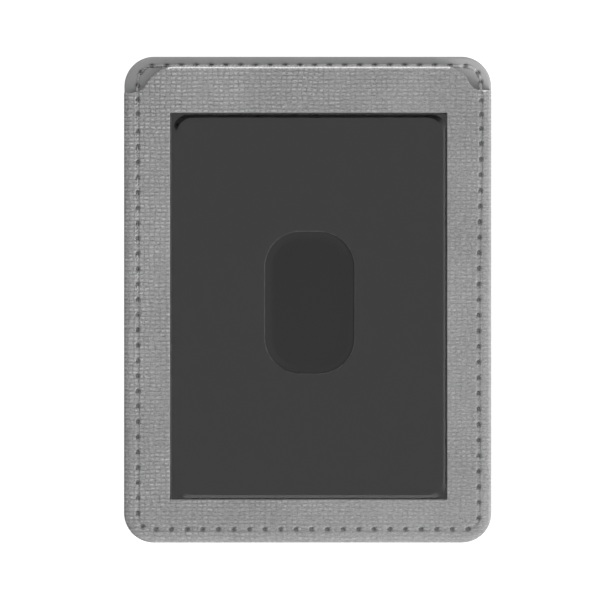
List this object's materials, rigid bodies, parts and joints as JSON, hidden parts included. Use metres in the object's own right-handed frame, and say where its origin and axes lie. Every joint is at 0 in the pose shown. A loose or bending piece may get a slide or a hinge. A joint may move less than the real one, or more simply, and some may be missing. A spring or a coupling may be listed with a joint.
{
  "type": "trading card toploader",
  "caption": "Stitched imitation-leather sleeve with a card-size window, and a rigid clear-fronted card holder with a thumb slot that slides out of its open top.",
  "frame": {"origin": "middle of the footprint of the sleeve, on the surface that its back lies on", "axes": "+Y towards the open mouth, +Z out of the window side, +X to the right as seen from the front"},
  "size_m": [0.085, 0.1124, 0.0065],
  "materials": {
    "leather": "grey imitation leather with a pressed cross grain",
    "lining": "smooth grey imitation leather",
    "welt": "bonded leather strip with painted edges",
    "board": "dark grey fibre board with painted edges",
    "thread": "twisted grey polyester thread",
    "black_plastic": "satin black rigid plastic",
    "smoke_plastic": "clear rigid plastic with a smoke tint, seen over the black back sheet"
  },
  "bodies": {
    "sleeve": {"back_leather": "leather", "back_board": "board", "back_lining": "lining", "left_welt": "welt", "right_welt": "welt", "bottom_welt": "welt", "front_lining": "lining", "front_board": "board", "front_leather": "leather", "front_thread": "thread", "back_thread": "thread"},
    "toploader": {"toploader_back": "black_plastic", "toploader_front": "smoke_plastic"}
  },
  "joints": [
    {"name": "toploader_slide", "type": "slide", "parent": "sleeve", "child": "toploader", "axis": [0, 1, 0], "range_m": [0, 0.11]}
  ]
}
